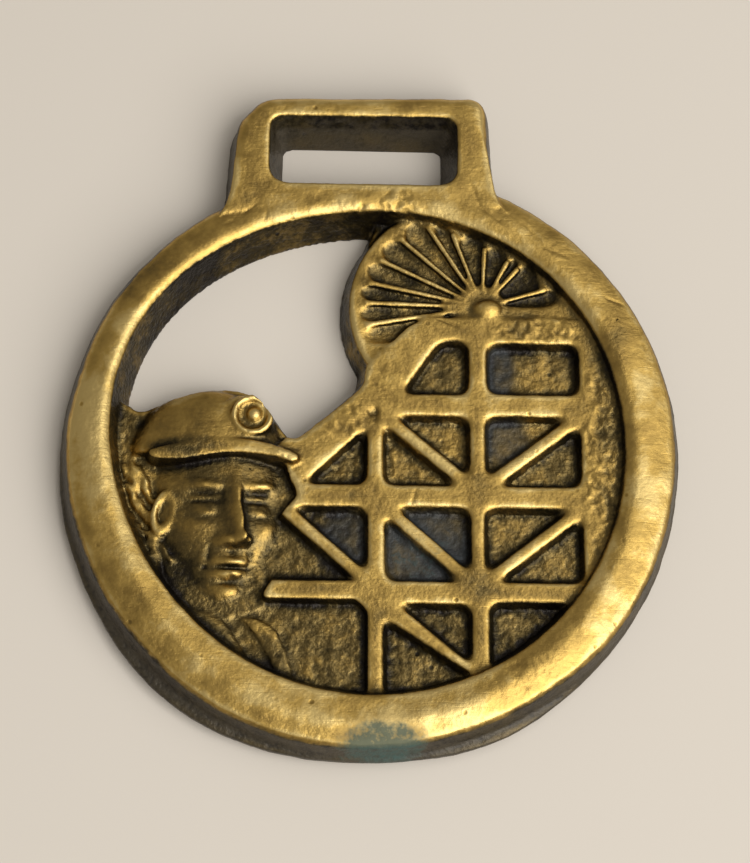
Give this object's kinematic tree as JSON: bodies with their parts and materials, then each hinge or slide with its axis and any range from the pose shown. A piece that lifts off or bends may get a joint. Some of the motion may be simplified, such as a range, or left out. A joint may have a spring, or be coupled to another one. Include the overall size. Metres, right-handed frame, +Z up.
{
  "type": "horse brass",
  "caption": "Flat cast pendant with a strap hanger and a round rim round a pierced relief of a helmeted miner, a braced pit frame and a rising sun.",
  "frame": {"origin": "middle of the flat underside", "axes": "+Z up out of the face, +Y towards the strap hanger, +X to the viewer's right"},
  "size_m": [0.0768, 0.0876, 0.006],
  "materials": {
    "brass": "aged, rubbed bright on the high parts and dark brown in the recesses"
  },
  "bodies": {
    "root": {"brass_casting": "brass"}
  },
  "joints": []
}
